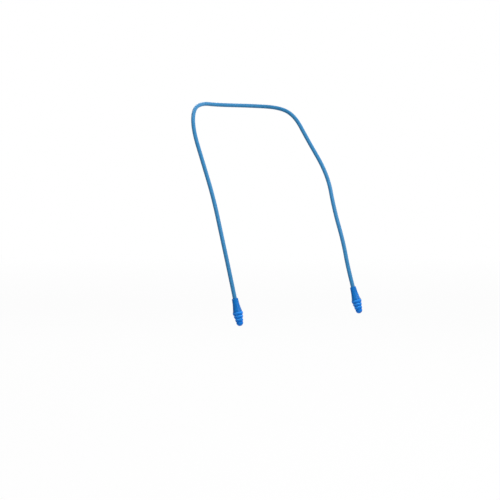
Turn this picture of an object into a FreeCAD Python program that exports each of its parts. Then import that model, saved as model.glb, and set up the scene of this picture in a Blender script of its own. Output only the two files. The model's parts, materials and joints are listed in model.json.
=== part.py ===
# Corded reusable earplugs: two flanged plugs on one braided neck cord, as the cord lies round a neck.
# Frame: millimetres, +Z up, the wearer faces -Y. The origin is the point of the nape that the cord
# rests on. Each plug is drawn along +Z of its own frame, from the mouth of its grip at 0 to the nose
# of its ear tip, and is then placed on the end of the cord.
import FreeCAD, Part

import math
import os

import Sketcher
from FreeCAD import Vector

DRIVING_SIZES = {
    # cord
    "cord_dia": 5.5,
    # crimped ferrule on each end of the cord
    "ferrule_wall": 0.5,
    "ferrule_cap": 0.6,
    "crimp_depth": 0.25,
    "crimp_width": 0.9,
    "crimp_spacing": 2.4,
    # conical grip
    "grip_len": 18.0,
    "mouth_land": 4.0,
    "mouth_wall": 1.1,
    "base_wall": 2.45,
    "core_stop": 0.4,
    "mouth_round": 0.5,
    "base_round": 0.3,
    "mouth_bevel": 0.25,
    # stiff core: a plug that closes the grip, and a spigot that carries the ear tip
    "plug_len": 5.0,
    "snap_height": 0.2,
    "snap_width": 0.8,
    "bead_dia": 3.7,
    "bead_height": 0.25,
    "bead_width": 0.9,
    "bead_spacing": 3.6,
    "spigot_round": 0.6,
    # soft flanged ear tip
    "tube_wall": 0.7,
    "rim_dia": 13.4,
    "rim_step": 1.5,
    "rim_land": 0.5,
    "rim_offset": 0.4,
    "flange_lip": 0.55,
    "flange_pitch": 4.2,
    "flange_root": 1.4,
    "flange_nest": 0.9,
    "nose_hollow": 1.8,
    "nose_wall": 4.3,
    # clearances
    "mouth_gap": 0.2,
    "swivel_gap": 0.1,
    "end_play": 0.15,
    "snap_gap": 0.05,
    "slide_gap": 0.05,
    "spigot_gap": 0.7,
}
FLANGES = 4  # the foremost one is the domed nose
CRIMPS = 2
BEADS = 3

# The cord's route, from the end in the left ferrule, up over the collar, round the nape and down to
# the end in the right one. X is to the wearer's left, which is the right-hand side seen from the front.
ROUTE = [
    (-65.3, -173, -270),
    (-70.5, -165, -232),
    (-76, -148, -180),
    (-79, -125, -129),
    (-83, -95, -81),
    (-84, -61, -38),
    (-73, -31, -9),
    (-53, -10, 1),
    (-25, 2.75, 0),
    (25, 2.75, 0),
    (56, -11, -3),
    (71, -38, -16),
    (78, -73, -48),
    (94, -107, -98),
    (91, -131, -144),
    (97, -149, -188),
    (98, -162, -224),
    (104, -171, -259),
]
BEND_SHARE = 0.45  # how much of the shorter run beside a bend its arc takes

doc = FreeCAD.newDocument("corded_earplugs")
sheet = doc.addObject("Spreadsheet::Sheet", "Sizes")
for row, (alias, number) in enumerate(DRIVING_SIZES.items(), start=1):
    sheet.set(f"A{row}", alias)
    sheet.set(f"B{row}", str(number))
    sheet.setAlias(f"B{row}", alias)
doc.recompute()


class Length:
    """A size worked out from cells of the sheet: its number, and the expression that gives it."""

    def __init__(self, number, expression):
        self.number = number
        self.expression = expression

    def combine(self, other, sign, number):
        right = other.expression if isinstance(other, Length) else str(other)
        return Length(number, f"({self.expression} {sign} {right})")

    def __add__(self, other):
        return self.combine(other, "+", self.number + number_of(other))

    def __sub__(self, other):
        return self.combine(other, "-", self.number - number_of(other))

    def __mul__(self, other):
        return self.combine(other, "*", self.number * number_of(other))

    def __truediv__(self, other):
        return self.combine(other, "/", self.number / number_of(other))


def number_of(value):
    return value.number if isinstance(value, Length) else value


def cell(alias):
    return Length(float(sheet.get(alias)), f"Sizes.{alias}")


# Radii and heights that more than one piece takes, all in the frame of a plug.
zero = Length(0.0, "0")
cord_radius = cell("cord_dia") / 2
mouth_radius = cord_radius + cell("mouth_gap")
ferrule_radius = cord_radius + cell("ferrule_wall")
chamber_radius = ferrule_radius + cell("swivel_gap")
socket_radius = chamber_radius + cell("core_stop")
base_radius = socket_radius + cell("base_wall")
bead_radius = cell("bead_dia") / 2
bore_radius = bead_radius + cell("slide_gap")
tube_radius = bore_radius + cell("tube_wall")

seat_height = cell("grip_len")
plug_height = seat_height - cell("plug_len")
snap_height = seat_height - cell("plug_len") / 2
ferrule_low = cell("mouth_land") + cell("end_play")
ferrule_high = plug_height - cell("end_play")
cord_height = ferrule_high - cell("ferrule_cap")
nose_height = cell("rim_offset") + cell("flange_pitch") * (FLANGES - 1)
nose_radius = cell("rim_dia") / 2 - cell("rim_step") / 2 * (FLANGES - 1)
tip_length = nose_height + cell("rim_land") + nose_radius
bore_depth = tip_length - cell("nose_wall")
spigot_length = bore_depth - cell("spigot_gap")


def origin_feature(body, role):
    return next(f for f in body.Origin.OriginFeatures if f.Role == role)


def bind_point(sketch, edge, position, radius, height):
    """Holds a point of the sketch at a radius from the axis and a height along it."""
    for axis, kind, size in ((-2, "DistanceX", radius), (-1, "DistanceY", height)):
        if size is zero:
            sketch.addConstraint(Sketcher.Constraint("PointOnObject", edge, position, axis))
            continue
        index = sketch.addConstraint(
            Sketcher.Constraint(kind, -1, 1, edge, position, size.number)
        )
        sketch.setExpression(f"Constraints[{index}]", size.expression)


def outline(body, name, corners, arcs=()):
    """A closed outline of (radius, height) corners in the body's XZ plane.

    An edge in arcs, given as (edge, level), is an arc whose centre is level with its first or last
    corner, so that it runs on straight from a cylinder there. It bulges where it narrows from that
    corner, and is hollow where it widens.
    """
    sketch = body.newObject("Sketcher::SketchObject", name)
    sketch.AttachmentSupport = [(origin_feature(body, "XZ_Plane"), "")]
    sketch.MapMode = "FlatFace"
    arcs = dict(arcs)
    first_point, last_point = [], []
    for edge, start in enumerate(corners):
        end = corners[(edge + 1) % len(corners)]
        a = Vector(start[0].number, start[1].number, 0)
        b = Vector(end[0].number, end[1].number, 0)
        if edge not in arcs:
            sketch.addGeometry(Part.LineSegment(a, b))
            first_point.append(1)
            last_point.append(2)
            continue
        level, other = (a, b) if arcs[edge] == "first" else (b, a)
        inward, along = level.x - other.x, other.y - level.y
        arc_radius = (inward**2 + along**2) / (2 * inward)
        centre = Vector(level.x - arc_radius, level.y, 0)
        circle = Part.Circle(centre, Vector(0, 0, 1), abs(arc_radius))
        reach = math.atan2(along, other.x - centre.x)
        bulges = inward > 0
        turns = (0, reach) if bulges else (reach, math.pi)
        sketch.addGeometry(Part.ArcOfCircle(circle, *turns))
        starts_first = bulges == (arcs[edge] == "first")
        first_point.append(1 if starts_first else 2)
        last_point.append(2 if starts_first else 1)
    for edge, (radius, height) in enumerate(corners):
        before = edge - 1 if edge else len(corners) - 1
        sketch.addConstraint(
            Sketcher.Constraint("Coincident", before, last_point[before], edge, first_point[edge])
        )
        bind_point(sketch, edge, first_point[edge], radius, height)
        if edge in arcs:
            level = height if arcs[edge] == "first" else corners[(edge + 1) % len(corners)][1]
            index = sketch.addConstraint(
                Sketcher.Constraint("DistanceY", -1, 1, edge, 3, level.number)
            )
            sketch.setExpression(f"Constraints[{index}]", level.expression)
    return sketch


def turned(body, name, corners, arcs=(), kind="Revolution"):
    """Turns an outline about the body's Z axis, as added (Revolution) or cut (Groove) material."""
    sketch = outline(body, name + "_outline", corners, arcs)
    feature = body.newObject("PartDesign::" + kind, name)
    feature.Profile = sketch
    feature.ReferenceAxis = (sketch, ["V_Axis"])
    feature.Angle = 360
    doc.recompute()
    return feature


def ring(body, name, inner, outer, height, width, kind="Revolution"):
    """A plain ring, centred on a height."""
    low, high = height - width / 2, height + width / 2
    corners = [(inner, low), (outer, low), (outer, high), (inner, high)]
    return turned(body, name, corners, kind=kind)


def repeated(body, name, feature, count, spacing):
    """Copies of a feature up the Z axis."""
    pattern = body.newObject("PartDesign::LinearPattern", name)
    pattern.Originals = [feature]
    pattern.Direction = (origin_feature(body, "Z_Axis"), [""])
    pattern.Occurrences = count
    pattern.setExpression("Length", (spacing * (count - 1)).expression)
    body.Tip = pattern
    doc.recompute()
    return pattern


def edge_at(shape, radius, height):
    """The name of the circular edge of that radius at that height."""
    for number, edge in enumerate(shape.Edges, start=1):
        if not isinstance(edge.Curve, Part.Circle):
            continue
        off = abs(edge.Curve.Radius - radius.number) + abs(edge.Curve.Center.z - height.number)
        if off < 1e-4:
            return f"Edge{number}"
    raise ValueError(f"no circular edge of radius {radius.number} at height {height.number}")


def dressed(body, name, kind, radius, height, size):
    """A Fillet or Chamfer on the circular edge of that radius at that height."""
    base = body.Tip
    feature = body.newObject("PartDesign::" + kind, name)
    feature.Base = (base, [edge_at(base.Shape, radius, height)])
    feature.setExpression("Radius" if kind == "Fillet" else "Size", size.expression)
    doc.recompute()
    return feature


def make_grip(body):
    """The flared cone that the fingers hold. The cord comes in at its narrow mouth, the ferrule lies
    in its chamber, and the core's plug snaps into the socket at its wide end."""
    land = cell("mouth_land")
    mouth_outer = mouth_radius + cell("mouth_wall")
    turned(
        body,
        "cone",
        [
            (mouth_radius, zero),
            (mouth_outer, zero),
            (base_radius, seat_height),
            (socket_radius, seat_height),
            (socket_radius, plug_height),
            (chamber_radius, plug_height),
            (chamber_radius, land),
            (mouth_radius, land),
        ],
        arcs=[(1, "first")],
    )
    ring(
        body,
        "snap_groove",
        socket_radius - cell("snap_height"),
        socket_radius + cell("snap_height"),
        snap_height,
        cell("snap_width"),
        kind="Groove",
    )
    dressed(body, "mouth_round", "Fillet", mouth_outer, zero, cell("mouth_round"))
    dressed(body, "base_round", "Fillet", base_radius, seat_height, cell("base_round"))
    dressed(body, "mouth_bevel", "Chamfer", mouth_radius, zero, cell("mouth_bevel"))


def make_core(body):
    """The stiff core: its plug closes the grip, and its beaded spigot carries the ear tip."""
    plug_radius = socket_radius - cell("snap_gap")
    shank_radius = bead_radius - cell("bead_height")
    spigot_high = seat_height + spigot_length
    turned(
        body,
        "plug_and_spigot",
        [
            (zero, plug_height),
            (plug_radius, plug_height),
            (plug_radius, seat_height),
            (shank_radius, seat_height),
            (shank_radius, spigot_high),
            (zero, spigot_high),
        ],
    )
    dressed(body, "spigot_round", "Fillet", shank_radius, spigot_high, cell("spigot_round"))
    ring(
        body,
        "snap_bead",
        plug_radius - cell("snap_height"),
        plug_radius + cell("snap_height"),
        snap_height,
        cell("snap_width") - cell("snap_gap") * 2,
    )
    first_bead = seat_height + cell("bead_spacing") / 2
    bead = ring(
        body,
        "bead",
        shank_radius - cell("bead_height"),
        bead_radius,
        first_bead,
        cell("bead_width"),
    )
    repeated(body, "beads", bead, BEADS, cell("bead_spacing"))


def make_ferrule(body):
    """The metal cup crimped on the end of the cord. It turns in the grip's chamber, so the plug
    swivels on the cord, and it is too wide for the mouth, so the cord can't pull out."""
    turned(
        body,
        "cup",
        [
            (zero, cord_height),
            (cord_radius, cord_height),
            (cord_radius, ferrule_low),
            (ferrule_radius, ferrule_low),
            (ferrule_radius, ferrule_high),
            (zero, ferrule_high),
        ],
    )
    first_crimp = (ferrule_low + cord_height) / 2 - cell("crimp_spacing") * (CRIMPS - 1) / 2
    for name, kind, radius in (
        ("crimp_ridge", "Revolution", cord_radius),
        ("crimp_groove", "Groove", ferrule_radius),
    ):
        crimp = ring(
            body,
            name,
            radius - cell("crimp_depth"),
            radius + cell("crimp_depth") / 2,
            first_crimp,
            cell("crimp_width"),
            kind=kind,
        )
        repeated(body, name + "s", crimp, CRIMPS, cell("crimp_spacing"))


def make_eartip(body):
    """The soft ear tip: a tube closed by a domed nose, with thin umbrella flanges that flare back
    towards the grip and shrink towards the nose. Each one's root lies inside the next one's hollow."""
    land, lip = cell("rim_land"), cell("flange_lip")
    nose_rim = seat_height + nose_height
    turned(
        body,
        "tube_and_nose",
        [
            (bore_radius, seat_height),
            (tube_radius, seat_height),
            (tube_radius, nose_rim + cell("nose_hollow")),
            (nose_radius - lip, nose_rim),
            (nose_radius, nose_rim),
            (nose_radius, nose_rim + land),
            (zero, seat_height + tip_length),
            (zero, seat_height + bore_depth),
            (bore_radius, seat_height + bore_depth),
        ],
        arcs=[(2, "last"), (5, "first")],
    )
    in_wall = bore_radius + cell("tube_wall") / 2
    for number in range(FLANGES - 1):
        rim_radius = cell("rim_dia") / 2 - cell("rim_step") / 2 * number
        rim = seat_height + cell("rim_offset") + cell("flange_pitch") * number
        root_high = rim + cell("flange_pitch") + cell("flange_nest")
        root_low = root_high - cell("flange_root")
        turned(
            body,
            f"flange_{number + 1}",
            [
                (tube_radius, root_low),
                (rim_radius - lip, rim),
                (rim_radius, rim),
                (rim_radius, rim + land),
                (tube_radius, root_high),
                (in_wall, root_high),
                (in_wall, root_low),
            ],
            arcs=[(0, "last"), (3, "first")],
        )


def plug_placement(end, before):
    """Puts a plug's +Z along the cord, with the cord's end at its place in the ferrule."""
    end, before = Vector(*end), Vector(*before)
    outward = (end - before).normalize()
    return FreeCAD.Placement(
        end - outward * cord_height.number, FreeCAD.Rotation(Vector(0, 0, 1), outward)
    )


def bend(before, corner, after):
    """The tangent arc that rounds one corner of the route: its ends, its middle and its radius."""
    back, ahead = before - corner, after - corner
    tangent = BEND_SHARE * min(back.Length, ahead.Length)
    back.normalize()
    ahead.normalize()
    half_turn = (math.pi - back.getAngle(ahead)) / 2
    radius = tangent / math.tan(half_turn)
    inward = (back + ahead).normalize()
    middle = corner + inward * (radius / math.cos(half_turn) - radius)
    return corner + back * tangent, middle, corner + ahead * tangent, radius


def make_cord():
    """The plain tube of the cord: straight runs joined by tangent arcs."""
    points = [Vector(*p) for p in ROUTE]
    edges, radii, at = [], [], points[0]
    for before, corner, after in zip(points, points[1:], points[2:]):
        start, middle, finish, radius = bend(before, corner, after)
        edges.append(Part.LineSegment(at, start).toShape())
        edges.append(Part.Arc(start, middle, finish).toShape())
        radii.append(radius)
        at = finish
    edges.append(Part.LineSegment(at, points[-1]).toShape())
    path = Part.Wire(edges)
    section = Part.Circle(points[0], points[1] - points[0], cord_radius.number)
    tube = path.makePipeShell([Part.Wire(section.toShape())], True, False)
    expected = math.pi * cord_radius.number**2 * path.Length
    print("cord bend radii", [round(r) for r in radii], "length", round(path.Length, 1))
    print("cord volume over section times length", round(tube.Volume / expected, 5))
    if abs(tube.Volume / expected - 1) > 0.001:
        raise ValueError("the swept cord isn't a plain tube")
    return tube


SIDES = {
    "left": plug_placement(ROUTE[0], ROUTE[1]),
    "right": plug_placement(ROUTE[-1], ROUTE[-2]),
}
PLUG_PIECES = {
    "ferrule": make_ferrule,
    "grip": make_grip,
    "core": make_core,
    "eartip": make_eartip,
}

cord = doc.addObject("Part::Feature", "cord")
cord.Shape = make_cord()
cord.Placement = FreeCAD.Placement()
nodes = [cord]
for side, placement in SIDES.items():
    for piece, make in PLUG_PIECES.items():
        plug_part = doc.addObject("PartDesign::Body", f"{piece}_{side}")
        make(plug_part)
        plug_part.Placement = placement
        nodes.append(plug_part)
doc.recompute()

for item in doc.Objects:
    if "Invalid" in item.State or "Error" in item.State:
        raise ValueError(f"{item.Name} failed: {item.State}")
for node in nodes:
    if node.Shape.isNull() or not node.Shape.isValid() or len(node.Shape.Solids) != 1:
        raise ValueError(f"{node.Label} is not one valid solid")

os.makedirs("parts", exist_ok=True)
for node in nodes:
    node.Shape.exportStep(f"parts/{node.Label}.step")
    print(node.Label, "volume", round(node.Shape.Volume, 1))
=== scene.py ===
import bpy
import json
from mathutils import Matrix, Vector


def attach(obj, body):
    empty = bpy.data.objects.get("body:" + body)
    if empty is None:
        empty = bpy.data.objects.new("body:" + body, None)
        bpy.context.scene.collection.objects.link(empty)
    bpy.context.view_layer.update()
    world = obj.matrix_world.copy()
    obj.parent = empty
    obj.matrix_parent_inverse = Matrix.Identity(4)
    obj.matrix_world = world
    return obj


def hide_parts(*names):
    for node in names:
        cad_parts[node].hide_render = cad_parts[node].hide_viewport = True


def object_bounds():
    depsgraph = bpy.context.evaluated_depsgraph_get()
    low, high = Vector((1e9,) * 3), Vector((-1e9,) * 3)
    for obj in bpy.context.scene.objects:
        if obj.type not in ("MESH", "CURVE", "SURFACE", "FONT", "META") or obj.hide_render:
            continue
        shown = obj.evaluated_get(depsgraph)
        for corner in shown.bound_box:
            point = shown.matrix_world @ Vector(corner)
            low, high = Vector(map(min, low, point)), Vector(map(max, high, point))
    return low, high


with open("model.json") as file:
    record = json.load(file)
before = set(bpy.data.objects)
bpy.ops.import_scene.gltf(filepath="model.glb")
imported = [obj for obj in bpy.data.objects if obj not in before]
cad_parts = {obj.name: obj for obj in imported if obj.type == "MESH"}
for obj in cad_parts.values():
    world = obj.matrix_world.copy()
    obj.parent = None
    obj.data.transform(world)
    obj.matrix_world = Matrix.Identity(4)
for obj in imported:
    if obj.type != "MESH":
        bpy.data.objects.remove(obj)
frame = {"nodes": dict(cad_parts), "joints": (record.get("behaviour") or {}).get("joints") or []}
cadBox = [list(corner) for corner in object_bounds()]

import json
import math

import bpy
import numpy as np
from mathutils import Vector

# Corded ear plugs: a braided neck cord with a conical grip and a soft flanged tip on each end.
# Sizes in the dictionaries are in millimetres, and the scales of noise go by the metre. The
# meshes are in metres, like the frame.
mm = 0.001
joints = {joint["name"]: joint for joint in frame["joints"]}
boxCentre = (np.array(cadBox[0]) + np.array(cadBox[1])) / 2


class Signal:
    # a node's output, on which Python's operators add Math nodes

    def __init__(self, kit, socket):
        self.kit = kit
        self.socket = socket

    def math(self, operation, *values):
        return self.kit.node("ShaderNodeMath", {"operation": operation}, dict(enumerate(values)))

    def __add__(self, other):
        return self.math("ADD", self, other)

    def __radd__(self, other):
        return self.math("ADD", other, self)

    def __sub__(self, other):
        return self.math("SUBTRACT", self, other)

    def __rsub__(self, other):
        return self.math("SUBTRACT", other, self)

    def __mul__(self, other):
        return self.math("MULTIPLY", self, other)

    def __rmul__(self, other):
        return self.math("MULTIPLY", other, self)

    def atLeast(self, other):
        return self.math("MAXIMUM", self, other)


class NodeKit:
    # makes the nodes of one material or world

    def __init__(self, tree):
        self.tree = tree

    def node(self, kind, settings=None, values=None, output=0):
        made = self.tree.nodes.new(kind)
        for name, value in (settings or {}).items():
            setattr(made, name, value)
        for socket, value in (values or {}).items():
            self.feed(made.inputs[socket], value)
        return Signal(self, made.outputs[output])

    def feed(self, socket, value):
        if isinstance(value, Signal):
            self.tree.links.new(value.socket, socket)
        else:
            socket.default_value = value

    def blend(self, share, first, second):
        # colours go through Mix: its colour sockets are 6 and 7, and its colour output is 2
        values = {0: share, 6: first, 7: second}
        return self.node("ShaderNodeMix", {"data_type": "RGBA"}, values, output=2)

    def bump(self, strength, depth, height):
        values = {"Strength": strength, "Distance": depth * mm, "Height": height}
        return self.node("ShaderNodeBump", None, values)

    def noise(self, where, scale, detail=2.0, roughness=0.5):
        values = {"Vector": where, "Scale": scale, "Detail": detail, "Roughness": roughness}
        return self.node("ShaderNodeTexNoise", None, values)

    def place(self):
        return self.node("ShaderNodeTexCoord", output="Object")

    def stretched(self, where, factors):
        return self.node("ShaderNodeVectorMath", {"operation": "MULTIPLY"}, {0: where, 1: factors})

    def attribute(self, name):
        return self.node("ShaderNodeAttribute", {"attribute_name": name}, output="Fac")

    def between(self, value, low, high, newLow=0.0, newHigh=1.0):
        values = {0: value, 1: low, 2: high, 3: newLow, 4: newHigh}
        return self.node("ShaderNodeMapRange", {"clamp": True}, values)


def newFinish(name, constants, build):
    # a material with one Principled shader: its constants, then what build feeds it
    material = bpy.data.materials.new(name)
    material.use_nodes = True
    kit = NodeKit(material.node_tree)
    shader = material.node_tree.nodes["Principled BSDF"]
    for socket, value in constants.items():
        shader.inputs[socket].default_value = value
    for socket, value in build(kit).items():
        kit.feed(shader.inputs[socket], value)
    return material


def signedVolume(points, faces):
    # the sum over the fan triangles of each face of a . (b x c) / 6
    total = 0.0
    for second in range(1, faces.shape[1] - 1):
        a, b, c = (points[faces[:, k]] for k in (0, second, second + 1))
        total += np.einsum("ij,ij->", a, np.cross(b, c)) / 6
    return total


def newPiece(name, points, faceSets, finish, attributes=None):
    # a closed mesh of quads and triangles, turned so that its faces point outwards
    centred = points - points.mean(axis=0)
    inward = sum(signedVolume(centred, faces) for faces in faceSets) < 0
    faceLists = [(faces[:, ::-1] if inward else faces).tolist() for faces in faceSets]
    mesh = bpy.data.meshes.new(name)
    mesh.from_pydata(points, [], sum(faceLists, []))
    for label, values in (attributes or {}).items():
        layer = mesh.attributes.new(label, "FLOAT", "POINT")
        layer.data.foreach_set("value", np.ascontiguousarray(values, dtype=np.float32))
    mesh.shade_smooth()
    mesh.materials.append(finish)
    piece = bpy.data.objects.new(name, mesh)
    bpy.context.scene.collection.objects.link(piece)
    return piece


def bow(start, end, count):
    # an arc from start to end, both (radius, height), that leaves start straight along the axis.
    # Its centre is level with start, and its radius is (inward^2 + along^2) / (2 inward), which
    # is negative where it flares outwards
    inward, along = start[0] - end[0], end[1] - start[1]
    radius = (inward**2 + along**2) / (2 * inward)
    reach = math.atan2(abs(along), (radius - inward) * math.copysign(1, radius))
    turn = np.linspace(0, reach, count)
    return np.stack([start[0] - radius + radius * np.cos(turn),
                     start[1] + math.copysign(radius, along) * np.sin(turn)], axis=1)


def soften(corners, count=4):
    # rounds each corner (radius, height, reach) by the parabola that starts and ends at reach
    # from it, or a little short of halfway to the next corner:
    # (1 - t)^2 start + 2 t (1 - t) corner + t^2 end
    nearHalf = 0.45
    rounded = []
    for index, (radius, height, reach) in enumerate(corners):
        corner = np.array([radius, height])
        if reach == 0 or index in (0, len(corners) - 1):
            rounded.append(corner[None])
            continue
        ends = [np.array(corners[index + step][:2]) - corner for step in (-1, 1)]
        ends = [corner + end * min(reach / np.linalg.norm(end), nearHalf) for end in ends]
        t = np.linspace(0, 1, count)[:, None]
        rounded.append((1 - t)**2 * ends[0] + 2 * t * (1 - t) * corner + t**2 * ends[1])
    return np.concatenate(rounded)


plug = {
    "gripLength": 18.0,
    "ferruleMiddle": 8.5,  # from the grip's mouth
    "coreLength": 5.0,
    "segments": 144,  # mesh faces once round
    "seamPull": 0.12,  # how far the segments crowd towards the mould seams, in radians
}


def plugFrame(side):
    # the mouth of the grip, and three axes: two across the plug, and one towards its nose
    swivel = joints[f"{side}_swivel"]
    nose = np.array(swivel["axis"])
    across = np.cross(nose, [0.0, 1.0, 0.0])
    across /= np.linalg.norm(across)
    mouth = np.array(swivel["pos_m"]) - nose * plug["ferruleMiddle"] * mm
    return mouth, across, np.cross(nose, across), nose


def turnedPiece(name, side, radius, height, angle, finish, attributes):
    # radius and height are arrays of (profile point, angle): mouth + height nose
    # + radius (cos angle across + sin angle beside). A profile that starts and ends on the
    # axis closes on two poles, and any other closes on itself
    mouth, across, beside, nose = plugFrame(side)
    rows, turns = radius.shape
    points = (height[..., None] * nose
              + (radius * np.cos(angle))[..., None] * across
              + (radius * np.sin(angle))[..., None] * beside) * mm + mouth
    index = np.arange(rows * turns).reshape(rows, turns)
    here, after = index, np.roll(index, -1, axis=1)
    if radius[0].max() > 0:
        quads = np.stack([here, after, np.roll(after, -1, axis=0), np.roll(here, -1, axis=0)], axis=-1)
        return newPiece(name, points.reshape(-1, 3), [quads.reshape(-1, 4)], finish,
                        {label: values.ravel() for label, values in attributes.items()})
    quads = np.stack([here[1:-2], after[1:-2], after[2:-1], here[2:-1]], axis=-1).reshape(-1, 4)
    fans = [np.stack([np.full(turns, pole), after[ring], here[ring]], axis=-1)[:, ::way]
            for pole, ring, way in ((0, 1, 1), (turns * (rows - 1), rows - 2, -1))]
    points = points.reshape(-1, 3)
    used = np.unique(np.concatenate([quads.ravel(), *[fan.ravel() for fan in fans]]))
    renumber = np.zeros(len(points), dtype=int)
    renumber[used] = np.arange(len(used))
    return newPiece(name, points[used], [renumber[quads], *[renumber[fan] for fan in fans]], finish,
                    {label: values.ravel()[used] for label, values in attributes.items()})


def turnOutline(corners):
    # the softened outline's radius and height, and the angles once round, as arrays of (profile
    # point, angle). The angles t crowd towards the two mould seams: t - pull sin(2 t)
    outline = soften(corners)
    even = np.linspace(0, 2 * math.pi, plug["segments"], endpoint=False)
    angle = even - plug["seamPull"] * np.sin(2 * even)
    radius, height = (np.repeat(column[:, None], plug["segments"], axis=1) for column in outline.T)
    return radius, height, angle[None]


cord = {
    "diameter": 5.5,
    "length": 762.0,
    "strands": 8,  # that wind each way
    "pitch": 2.2,  # along the cord, from one strand to the next that winds the same way
    "relief": 0.42,
    "overUnder": 0.45,  # the share of the relief that comes from passing over and under
    "strandWidth": 1.16,  # in spacings
    "cuts": 4,  # mesh faces across each strand
    "seed": 5,  # for each strand's own tone
    "resolution": 80,  # line points from one route point to the next
    "hangNormal": (0.0, 0.8, -0.6),  # square to the plane that the cord's two strands hang in
    "route": [
        (-65.3, -173, -270),
        (-70.5, -165, -232),
        (-76, -148, -180),
        (-79, -125, -129),
        (-83, -95, -81),
        (-84, -61, -38),
        (-73, -31, -9),
        (-53, -10, 1),
        (-25, 2.75, 0),
        (25, 2.75, 0),
        (60, -21, -3),
        (74, -41, -16),
        (80, -68, -48),
        (93, -108, -98),
        (91.5, -131, -144),
        (96, -151, -188),
        (98, -162, -224),
        (104, -171, -259),
    ],
}


def cordLine():
    # the cord's line, in metres: a NURBS with the route's points as control points
    curve = bpy.data.curves.new("cordLine", "CURVE")
    curve.dimensions = "3D"
    spline = curve.splines.new("NURBS")
    spline.points.add(len(cord["route"]) - 1)
    for point, (x, y, z) in zip(spline.points, cord["route"]):
        point.co = (x * mm, y * mm, z * mm, 1)
    spline.order_u = 3
    spline.use_endpoint_u = True
    spline.resolution_u = cord["resolution"]
    guide = bpy.data.objects.new("cordLine", curve)
    bpy.context.scene.collection.objects.link(guide)
    mesh = bpy.data.meshes.new_from_object(guide)
    line = np.zeros(len(mesh.vertices) * 3)
    mesh.vertices.foreach_get("co", line)
    bpy.data.objects.remove(guide)
    return line.reshape(-1, 3)


def alongLine(line, distance):
    # points of the line at each distance along it, and two axes across it there. The first axis
    # is square to the line and to the hang's normal, and the second to the line and the first
    walked = np.concatenate([[0], np.cumsum(np.linalg.norm(np.diff(line, axis=0), axis=1))])
    at = np.stack([np.interp(distance, walked, line[:, k]) for k in range(3)], axis=1)
    direction = np.gradient(line, walked, axis=0)
    ahead = np.stack([np.interp(distance, walked, direction[:, k]) for k in range(3)], axis=1)
    ahead /= np.linalg.norm(ahead, axis=1, keepdims=True)
    firstAxis = np.cross(ahead, cord["hangNormal"])
    firstAxis /= np.linalg.norm(firstAxis, axis=1, keepdims=True)
    return at, firstAxis, np.cross(ahead, firstAxis)


def braidSurface(u, v):
    # the top of a braid at u strands that wind one way and v that wind the other. Each strand
    # is an ellipse across, sqrt(1 - (2 x / width)^2), and rises and falls along its length as
    # cos(pi / 2 (along + strand - shift)), over two strands and under two. The highest of the
    # four strands that may reach the point is the one that shows
    top = np.full(u.shape, -1.0)
    winding = np.zeros(u.shape)
    tone = np.zeros(u.shape)
    tones = np.random.default_rng(cord["seed"]).uniform(0, 1, (2, cord["strands"]))
    for way, (across, along, shift) in enumerate(((u, v, 1), (v, u, 3))):
        for step in (0, 1):
            strand = np.floor(across - 0.5) + step
            aside = 2 * (across - strand - 0.5) / cord["strandWidth"]
            crown = np.sqrt(np.clip(1 - aside**2, 0, None))
            rise = 0.5 + 0.5 * np.cos(math.pi / 2 * (along + strand - shift))
            level = (1 - cord["overUnder"]) * crown + cord["overUnder"] * rise
            level = np.where(np.abs(aside) > 1, -1.0, level)
            shows = level > top + 1e-6  # a tie goes to the strand that came first
            top = np.where(shows, level, top)
            winding = np.where(shows, float(way), winding)
            tone = np.where(shows, tones[way][strand.astype(int) % cord["strands"]], tone)
    return top, winding, tone


braidLook = {
    "deep": (0.011, 0.130, 0.305, 1),
    "bright": (0.038, 0.235, 0.465, 1),
    "toned": (0.05, 0.27, 0.53, 1),
    "tonedShare": 0.22,
    "worn": (0.06, 0.21, 0.36, 1),
    "wornShare": 0.10,
    # painted shade: a dark navy laid into the grooves between the strands, where shade falls
    "groove": (0.002, 0.036, 0.110, 1),
    "grooveShadeShare": 0.85,
    "fibresAcross": 7.0,  # streaks to a millimetre
    "fibresAlong": 0.7,
    "wornScale": 28.0,
    "bumpDepth": 0.12,
}


def braidFinish(kit):
    # each way's fibres run along its own strands, so there are two sets of streaks
    look = braidLook
    lay = kit.node("ShaderNodeUVMap", {"uv_map": "lay"})
    split = [kit.node("ShaderNodeSeparateXYZ", None, {0: lay}, output=axis) for axis in "XY"]
    slope = math.atan(math.pi * cord["diameter"] / (cord["strands"] * cord["pitch"]))
    streaks = []
    for way in (1, -1):
        across = split[1] * math.cos(slope) - split[0] * (way * math.sin(slope))
        along = split[0] * math.cos(slope) + split[1] * (way * math.sin(slope))
        values = {0: across * look["fibresAcross"], 1: along * look["fibresAlong"], 2: 3.0 * way}
        where = kit.node("ShaderNodeCombineXYZ", None, values)
        streaks.append(kit.noise(where, 1.0, detail=3.0, roughness=0.6))
    winding = kit.attribute("winding")
    fibre = streaks[0] + (streaks[1] - streaks[0]) * winding
    crown = kit.attribute("crown")
    worn = kit.between(kit.noise(kit.place(), look["wornScale"]), 0.35, 0.65)
    # painted shade: the colour goes towards the groove colour where the braid's crown is low, between
    # the strands
    groove = 1.0 - kit.between(crown, 0.3, 0.9)
    colour = kit.blend(kit.between(fibre, 0.3, 0.7), look["deep"], look["bright"])
    colour = kit.blend(kit.attribute("tone") * look["tonedShare"], colour, look["toned"])
    colour = kit.blend(worn * look["wornShare"], colour, look["worn"])
    colour = kit.blend(groove * look["grooveShadeShare"], colour, look["groove"])
    return {
        "Base Color": colour,
        "Roughness": 0.62 - fibre * 0.16 + worn * 0.08,
        "Normal": kit.bump(0.6, look["bumpDepth"], fibre * 0.5 + crown * 0.2),
    }


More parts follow.
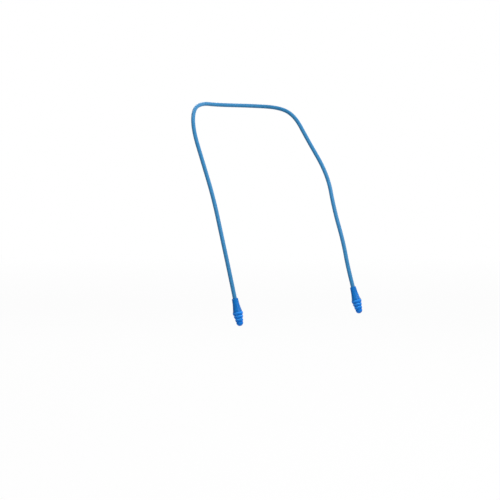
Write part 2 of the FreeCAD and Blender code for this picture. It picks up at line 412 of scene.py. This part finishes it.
def makeCord(finish):
    # a lattice of diamonds whose edges run along the strands: ring m lies at m pitch / (2 cuts),
    # and every second ring is turned by half a step. Its radius is that of the cord less the
    # relief, plus the relief times the braid's surface
    line = cordLine()
    length = np.linalg.norm(np.diff(line, axis=0), axis=1).sum() / mm
    ringStep = cord["pitch"] / (2 * cord["cuts"])
    rings = int(length / ringStep)
    around = cord["strands"] * cord["cuts"]
    ring = np.arange(rings)
    distance = ring * length / (rings - 1)
    turn = (np.arange(around)[None] + 0.5 * (ring % 2)[:, None]) / around
    wound = (ring / (2 * cord["cuts"]))[:, None]
    top, winding, tone = braidSurface(cord["strands"] * turn - wound, cord["strands"] * turn + wound)
    radius = cord["diameter"] / 2 - cord["relief"] * (1 - top)
    at, firstAxis, secondAxis = alongLine(line, distance * mm)
    angle = 2 * math.pi * turn
    points = (at[:, None]
              + (radius * np.cos(angle) * mm)[..., None] * firstAxis[:, None]
              + (radius * np.sin(angle) * mm)[..., None] * secondAxis[:, None]).reshape(-1, 3)
    index = np.arange(rings * around).reshape(rings, around)
    odd = (ring % 2)[:-2, None]
    step = np.arange(around)[None]
    right = np.take_along_axis(index[1:-1], (step + odd) % around, axis=1)
    left = np.take_along_axis(index[1:-1], (step + odd - 1) % around, axis=1)
    diamonds = np.stack([index[:-2], right, index[2:], left], axis=-1).reshape(-1, 4)
    # the half diamonds and the middles that close the two ends
    ends = []
    for first, second, middle, way in ((0, 1, 0, 1), (rings - 1, rings - 2, 1, -1)):
        beside = np.roll(index[first], -1)
        inner = index[second] if second % 2 else np.roll(index[second], -1)
        ends.append(np.stack([index[first], beside, inner], axis=-1)[:, ::way])
        hub = np.full(around, len(points) + middle)
        ends.append(np.stack([beside, index[first], hub], axis=-1)[:, ::way])
    points = np.concatenate([points, at[[0, -1]]])
    attributes = {label: np.append(values.ravel(), [0.0, 0.0])
                  for label, values in (("crown", top), ("winding", winding), ("tone", tone))}
    piece = newPiece("braidedCord", points, [diamonds, *ends], finish, attributes)
    # the lay: millimetres along the cord and round it, with no jump inside a face
    mesh = piece.data
    corner = np.zeros(len(mesh.loops), dtype=np.int32)
    mesh.loops.foreach_get("vertex_index", corner)
    along = np.append(np.repeat(distance, around), [0.0, length])[corner]
    aroundCord = np.append((turn * math.pi * cord["diameter"]).ravel(), [0.0, 0.0])[corner]
    starts = np.zeros(len(mesh.polygons), dtype=np.int32)
    mesh.polygons.foreach_get("loop_start", starts)
    firstOfFace = np.repeat(aroundCord[starts], np.diff(np.append(starts, len(corner))))
    whole = math.pi * cord["diameter"]
    aroundCord = aroundCord - whole * np.round((aroundCord - firstOfFace) / whole)
    layer = mesh.uv_layers.new(name="lay")
    layer.data.foreach_set("uv", np.stack([along, aroundCord], axis=1).astype(np.float32).ravel())
    return piece, line, length


grip = {
    "mouthBore": 2.95,
    "mouthWall": 1.1,
    "mouthLand": 4.0,
    "chamber": 3.35,
    "socket": 3.75,
    "baseWall": 2.45,
    "grooveDepth": 0.2,
    "grooveWidth": 0.8,
    "mouthBevel": 0.25,
    "mouthRound": 0.5,
    "baseRound": 0.3,
    "socketRound": 0.12,
    "grooveRound": 0.05,
    "chamberRound": 0.1,
    "seamHeight": 0.05,
    "seamWidth": 0.16,
    "seamFade": 0.6,  # from each end of the cone
    "seamDepth": 0.1,  # how far under the cone the outline still counts as outside
    "flarePoints": 26,
}


def makeGrip(side, finish):
    # the outline goes up the flared cone, over the base, down the socket and the chamber, and
    # out through the mouth
    length, seat = plug["gripLength"], plug["gripLength"] - plug["coreLength"]
    mouth, base = grip["mouthBore"] + grip["mouthWall"], grip["socket"] + grip["baseWall"]
    middle, half = seat + plug["coreLength"] / 2, grip["grooveWidth"] / 2
    flare = [(r, s, 0) for r, s in bow((mouth, 0), (base, length), grip["flarePoints"])[1:-1]]
    socket, groove = grip["socket"], grip["socket"] + grip["grooveDepth"]
    smallRound, innerRound = grip["grooveRound"], grip["chamberRound"]
    radius, height, angle = turnOutline([
        (grip["mouthBore"] + grip["mouthBevel"], 0, 0),
        (mouth, 0, grip["mouthRound"]),
        *flare,
        (base, length, grip["baseRound"]),
        ((base + socket) / 2, length, 0),
        (socket, length, grip["socketRound"]),
        (socket, middle + half, smallRound),
        (groove, middle + half, smallRound),
        (groove, middle - half, smallRound),
        (socket, middle - half, smallRound),
        (socket, seat, smallRound),
        (grip["chamber"], seat, innerRound),
        (grip["chamber"], grip["mouthLand"], innerRound),
        (grip["mouthBore"], grip["mouthLand"], innerRound),
        (grip["mouthBore"], grip["mouthBevel"], 0),
    ])
    # a mould seam stands out along the cone on two sides, as the bell exp(-(x / width)^2) of the
    # way x round from it, and fades out towards both ends
    coneRadius = np.interp(height, [s for _, s, _ in flare], [r for r, _, _ in flare])
    outside = radius > coneRadius - grip["seamDepth"]
    fade = np.clip(np.minimum(height, length - height) / grip["seamFade"], 0, 1)
    seam = np.exp(-(radius * np.sin(angle) / grip["seamWidth"])**2) * outside * fade
    radius = radius + grip["seamHeight"] * seam
    return turnedPiece(f"grip{side.capitalize()}", side, radius, height, angle, finish,
                       {"seam": seam})


rubberLook = {
    "gripDeep": (0.001, 0.112, 0.39, 1),
    "gripBright": (0.002, 0.145, 0.48, 1),
    "tipDeep": (0.001, 0.138, 0.545, 1),
    "tipBright": (0.002, 0.185, 0.67, 1),
    # the paler colour of thin rubber, which on the tips' rims is also a painted highlight
    "thin": (0.05, 0.34, 0.88, 1),
    "thinAndHighlightShare": 0.85,
    "scuffed": (0.16, 0.34, 0.56, 1),
    "scuffedShare": 0.10,
    "cloudScale": 260.0,
    "grainScale": 5200.0,
    "scuffScale": 900.0,
    "bumpDepth": 0.08,
}


def rubberFinish(deep, bright, thin):
    # soft moulded rubber: pigment that is cloudy between the colours named deep and bright, a fine
    # mould grain, and paler where the attribute named thin is high. On the tips that attribute is a
    # band round each rim: partly the thin rubber's own paleness, partly a painted highlight where
    # light catches the rims
    look = rubberLook

    def build(kit):
        place = kit.place()
        cloud = kit.noise(place, look["cloudScale"], detail=3.0)
        grain = kit.noise(place, look["grainScale"])
        scuff = kit.noise(place, look["scuffScale"], detail=4.0, roughness=0.7)
        scuff = kit.between(scuff, 0.52, 0.75)
        colour = kit.blend(kit.between(cloud, 0.3, 0.7), look[deep], look[bright])
        colour = kit.blend(kit.attribute(thin) * look["thinAndHighlightShare"], colour, look["thin"])
        colour = kit.blend(scuff * look["scuffedShare"], colour, look["scuffed"])
        return {
            "Base Color": colour,
            "Roughness": 0.36 + grain * 0.12 + scuff * 0.12,
            "Normal": kit.bump(0.25, look["bumpDepth"], grain * 0.6 + cloud * 0.4),
        }
    return build


tip = {
    "bore": 1.9,
    "wall": 0.7,
    "rim": 6.7,
    "rimStep": 0.75,
    "rimLand": 0.5,
    "rimOffset": 0.4,
    "firstRise": 0.4,  # how much nearer to the grip the first rim reaches
    "lip": 0.55,
    "pitch": 4.2,
    "flanges": 4,  # the last is the nose
    "root": 1.4,
    "nest": 0.9,  # how far each flange reaches up inside the next one
    "noseHollow": 1.8,
    "noseWall": 4.3,
    "rimRound": 0.2,
    "rootRound": 0.15,
    "mouthRound": 0.1,
    "boreRound": 0.3,
    "gateWidth": 0.7,
    "gateDepth": 0.12,
    "waver": 0.04,  # how far the thin rims stray from round
    "waverReach": 2.5,  # from the tube outwards, till they stray in full
    "paleAt": 0.4,  # from the rim's edge towards the nose
    "paleWidth": 0.7,
    "domePoints": 22,
    "outsidePoints": 14,
    "hollowPoints": 12,
    "noseHollowPoints": 8,
}


def makeTip(side, finish):
    # the outline goes from the nose's pole back over the flanges to the mouth of the bore, and
    # along the bore to its blind end. Each flange is two bows: one outside and one in its hollow
    seat = plug["gripLength"]
    tube, land, last = tip["bore"] + tip["wall"], tip["rimLand"], tip["flanges"] - 1
    rimRound, rootRound = tip["rimRound"], tip["rootRound"]
    noseHeight = seat + tip["rimOffset"] + tip["pitch"] * last
    noseRadius = tip["rim"] - tip["rimStep"] * last
    noseRoot = noseHeight + tip["noseHollow"]
    end = noseHeight + land + noseRadius
    dome = bow((noseRadius, noseHeight + land), (0, end), tip["domePoints"])[::-1]
    gate = tip["gateDepth"] * np.exp(-(dome[:, 0] / tip["gateWidth"])**4)
    hollow = bow((noseRadius - tip["lip"], noseHeight), (tube, noseRoot), tip["noseHollowPoints"])
    corners = [
        *[(r, s - dip, 0) for (r, s), dip in zip(dome, gate)],
        (noseRadius, noseHeight, rimRound),
        (noseRadius - tip["lip"], noseHeight, rimRound),
        *[(r, s, 0) for r, s in hollow[1:-1]],
        (tube, noseRoot, rootRound),
    ]
    for number in range(last - 1, -1, -1):
        rim = seat + tip["rimOffset"] + tip["pitch"] * number
        wide = tip["rim"] - tip["rimStep"] * number
        rootHigh = rim + tip["pitch"] + tip["nest"]
        rootLow = rootHigh - tip["root"]
        edgeHeight = rim - (tip["firstRise"] if number == 0 else 0)
        outside = bow((wide, rim + land), (tube, rootHigh), tip["outsidePoints"])[::-1]
        hollow = bow((wide - tip["lip"], edgeHeight), (tube, rootLow), tip["hollowPoints"])
        corners += [
            (*outside[0], rootRound),
            *[(r, s, 0) for r, s in outside[1:]],
            (wide, edgeHeight, rimRound),
            (wide - tip["lip"], edgeHeight, rimRound),
            *[(r, s, 0) for r, s in hollow[1:-1]],
            (tube, rootLow, rootRound),
        ]
    corners += [
        (tube, seat, tip["mouthRound"]),
        (tip["bore"], seat, tip["mouthRound"]),
        (tip["bore"], end - tip["noseWall"], tip["boreRound"]),
        (0, end - tip["noseWall"], 0),
    ]
    radius, height, angle = turnOutline(corners)
    radius[[0, -1]] = 0
    # a soft rim is never quite round or flat: radius and height stray by waver times the sine of
    # two and three turns round, most at the edge and least at the tube and the nose. The turns'
    # starts creep with the height, so that no two rims stray alike
    thin = np.clip((radius - tube) / tip["waverReach"], 0, 1) * np.clip(noseHeight - height, 0, 1)
    radius = radius + tip["waver"] * thin * np.sin(2 * angle + 0.9 * height)
    height = height + tip["waver"] * thin * np.sin(3 * angle + 0.7 * height)
    # each rim is paler in a band round it, exp(-((height over the rim - paleAt) / paleWidth)^2):
    # partly the thin rubber's own paleness, partly a painted highlight where light catches the rim
    overRim = (height - seat - tip["rimOffset"]) % tip["pitch"]
    edge = thin * np.exp(-((overRim - tip["paleAt"]) / tip["paleWidth"])**2)
    return turnedPiece(f"earTip{side.capitalize()}", side, radius, height, angle, finish,
                       {"edge": edge})


coreLook = {
    "deep": (0.008, 0.09, 0.30, 1),
    "bright": (0.012, 0.12, 0.38, 1),
    "grainScale": 7000.0,
    "flowScale": 1100.0,
    "flow": (1.0, 1.0, 0.2),  # the flow lines are five times as long along Z
    "bumpDepth": 0.05,
}


def coreFinish(kit):
    # stiff moulded plastic: a fine even grain and faint flow lines along Z
    look = coreLook
    place = kit.place()
    grain = kit.noise(place, look["grainScale"], detail=1.0)
    flow = kit.noise(kit.stretched(place, look["flow"]), look["flowScale"])
    return {
        "Base Color": kit.blend(kit.between(flow, 0.3, 0.7), look["deep"], look["bright"]),
        "Roughness": 0.30 + flow * 0.15,
        "Normal": kit.bump(0.2, look["bumpDepth"], grain),
    }


ferruleLook = {
    "steel": (0.56, 0.57, 0.59, 1),
    "dull": (0.40, 0.40, 0.41, 1),
    "dullShare": 0.4,
    "spotScale": 1500.0,
    "drawnScale": 9000.0,
    "drawn": (1.0, 1.0, 0.05),  # the lines are twenty times as long along Z
    "bumpDepth": 0.03,
}


def ferruleFinish(kit):
    # drawn steel: fine lines along the cup, and duller spots
    look = ferruleLook
    place = kit.place()
    drawn = kit.noise(kit.stretched(place, look["drawn"]), look["drawnScale"])
    spots = kit.between(kit.noise(place, look["spotScale"], detail=3.0), 0.45, 0.7)
    return {
        "Base Color": kit.blend(spots * look["dullShare"], look["steel"], look["dull"]),
        "Roughness": 0.24 + drawn * 0.12 + spots * 0.15,
        "Normal": kit.bump(0.3, look["bumpDepth"], drawn),
    }


braid = newFinish("braidedPolyester", {
    "Specular IOR Level": 0.2,
    "Sheen Weight": 0.12,
    "Sheen Roughness": 0.45,
    "Sheen Tint": (0.55, 0.75, 1.0, 1),
}, braidFinish)
gripRubber = newFinish("gripRubber", {"Specular IOR Level": 0.12},
                       rubberFinish("gripDeep", "gripBright", "seam"))
# on the tips, the edge attribute makes the rims paler: partly thin rubber, partly a painted highlight
tipRubber = newFinish("tipRubber", {"Specular IOR Level": 0.15},
                      rubberFinish("tipDeep", "tipBright", "edge"))
corePlastic = newFinish("corePlastic", {"IOR": 1.5}, coreFinish)
ferruleSteel = newFinish("ferruleSteel", {"Metallic": 1.0}, ferruleFinish)
print("finishes made")

braidedCord, line, measured = makeCord(braid)
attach(braidedCord, "neck_cord")
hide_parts("cord")
print("cord made,", round(measured, 1), "mm,", len(braidedCord.data.polygons), "faces")

for side in ("left", "right"):
    gripPiece = makeGrip(side, gripRubber)
    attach(gripPiece, f"plug_{side}")
    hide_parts(f"grip_{side}")
    tipPiece = makeTip(side, tipRubber)
    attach(tipPiece, f"tip_{side}")
    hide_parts(f"eartip_{side}")
    for node, finish in ((f"core_{side}", corePlastic), (f"ferrule_{side}", ferruleSteel)):
        frame["nodes"][node].data.materials.clear()
        frame["nodes"][node].data.materials.append(finish)
    print(side, "plug made,", len(gripPiece.data.polygons), len(tipPiece.data.polygons), "faces")


studio = {
    "floorBelow": 150.0,
    "floorSize": 12000.0,
    "nearby": 200.0,
    "far": 5800.0,
    "nearGlow": 0.95,
    "ambient": 0.16,  # the sky's strength as light
    "darkPaper": (0.64, 0.64, 0.64, 1),
    "lightPaper": (0.68, 0.68, 0.68, 1),
    "paperScale": 40.0,
    "lamps": [
        # name, azimuth and elevation in degrees, distance and size in mm, watts
        ("key", 12.0, 45.0, 1500.0, 500.0, 25.0),
        ("fill", -75.0, 15.0, 1800.0, 1200.0, 4.0),
        ("side", 95.0, 25.0, 1600.0, 700.0, 9.0),
        ("back", 175.0, 40.0, 1800.0, 1000.0, 18.0),
    ],
}
shot = {
    "azimuth": -22.0,
    "elevation": 2.0,
    "distance": 2000.0,
    "lens": 109.1,
    "farthest": 50000.0,
    "aim": (-26.4, -122.0, -198.0),  # from the nape
}


def outwards(azimuth, elevation):
    # the way from the object to a camera or lamp: azimuth 0 is in front, 90 at its +X side
    a, e = math.radians(azimuth), math.radians(elevation)
    return np.array([math.sin(a) * math.cos(e), -math.cos(a) * math.cos(e), math.sin(e)])


def aimed(thing, away):
    # turns a lamp or camera to look back along away
    thing.rotation_mode = "QUATERNION"
    thing.rotation_quaternion = Vector(-away).to_track_quat("-Z", "Y")


def seenShare(kit):
    # 1 for what the camera sees, straight or in a reflection or through glass
    seen = [kit.node("ShaderNodeLightPath", output=name)
            for name in ("Is Camera Ray", "Is Glossy Ray", "Is Transmission Ray")]
    return seen[0].atLeast(seen[1]).atLeast(seen[2])


def stageFinish():
    # pale paper that glows to the camera and keeps some of its own light, and so the object's
    # shadow. The glow takes over with distance, from nearby to far
    material = bpy.data.materials.new("whitePaper")
    material.use_nodes = True
    kit = NodeKit(material.node_tree)
    shader = kit.tree.nodes["Principled BSDF"]
    shader.inputs["Roughness"].default_value = 0.9
    shader.inputs["Specular IOR Level"].default_value = 0.0
    place = kit.place()
    tone = kit.noise(place, studio["paperScale"])
    kit.feed(shader.inputs["Base Color"], kit.blend(tone, studio["darkPaper"], studio["lightPaper"]))
    distance = kit.node("ShaderNodeVectorMath", {"operation": "LENGTH"}, {0: place}, output=1)
    share = kit.between(distance, studio["nearby"] * mm, studio["far"] * mm, studio["nearGlow"], 1.0)
    glow = kit.node("ShaderNodeEmission", None, {"Strength": 1.0})
    both = kit.node("ShaderNodeMixShader", None,
                    {0: seenShare(kit) * share, 1: Signal(kit, shader.outputs[0]), 2: glow})
    kit.feed(kit.tree.nodes["Material Output"].inputs["Surface"], both)
    return material


def makeFloor(finish):
    # a flat square sheet under the object: its middle plus and minus half its size
    x, y, z = boxCentre[0], boxCentre[1], cadBox[0][2] - studio["floorBelow"] * mm
    half = studio["floorSize"] * mm / 2
    corners = [(x + a * half, y + b * half, z) for a, b in ((-1, -1), (1, -1), (1, 1), (-1, 1))]
    mesh = bpy.data.meshes.new("floor")
    mesh.from_pydata(corners, [], [(0, 1, 2, 3)])
    mesh.materials.append(finish)
    floor = bpy.data.objects.new("floor", mesh)
    bpy.context.scene.collection.objects.link(floor)


makeFloor(stageFinish())

for name, azimuth, elevation, distance, size, watts in studio["lamps"]:
    lamp = bpy.data.lights.new(name, "AREA")
    lamp.size = size * mm
    lamp.energy = watts
    lampObject = bpy.data.objects.new(name, lamp)
    bpy.context.scene.collection.objects.link(lampObject)
    away = outwards(azimuth, elevation)
    lampObject.location = boxCentre + away * distance * mm
    aimed(lampObject, away)

# the sky is white to the camera, and lights the object only with its ambient strength
world = bpy.data.worlds.new("studio")
bpy.context.scene.world = world
world.use_nodes = True
sky = NodeKit(world.node_tree)
sky.feed(world.node_tree.nodes["Background"].inputs["Color"], (1.0, 1.0, 1.0, 1.0))
sky.feed(world.node_tree.nodes["Background"].inputs["Strength"],
         seenShare(sky) * (1 - studio["ambient"]) + studio["ambient"])

camera = bpy.data.objects.new("camera", bpy.data.cameras.new("camera"))
bpy.context.scene.collection.objects.link(camera)
bpy.context.scene.camera = camera
camera.data.lens = shot["lens"]
camera.data.clip_end = shot["farthest"] * mm
cameraAway = outwards(shot["azimuth"], shot["elevation"])
camera.location = (np.array(shot["aim"]) + cameraAway * shot["distance"]) * mm
aimed(camera, cameraAway)
bpy.context.scene.view_settings.view_transform = "Standard"
print("studio made")
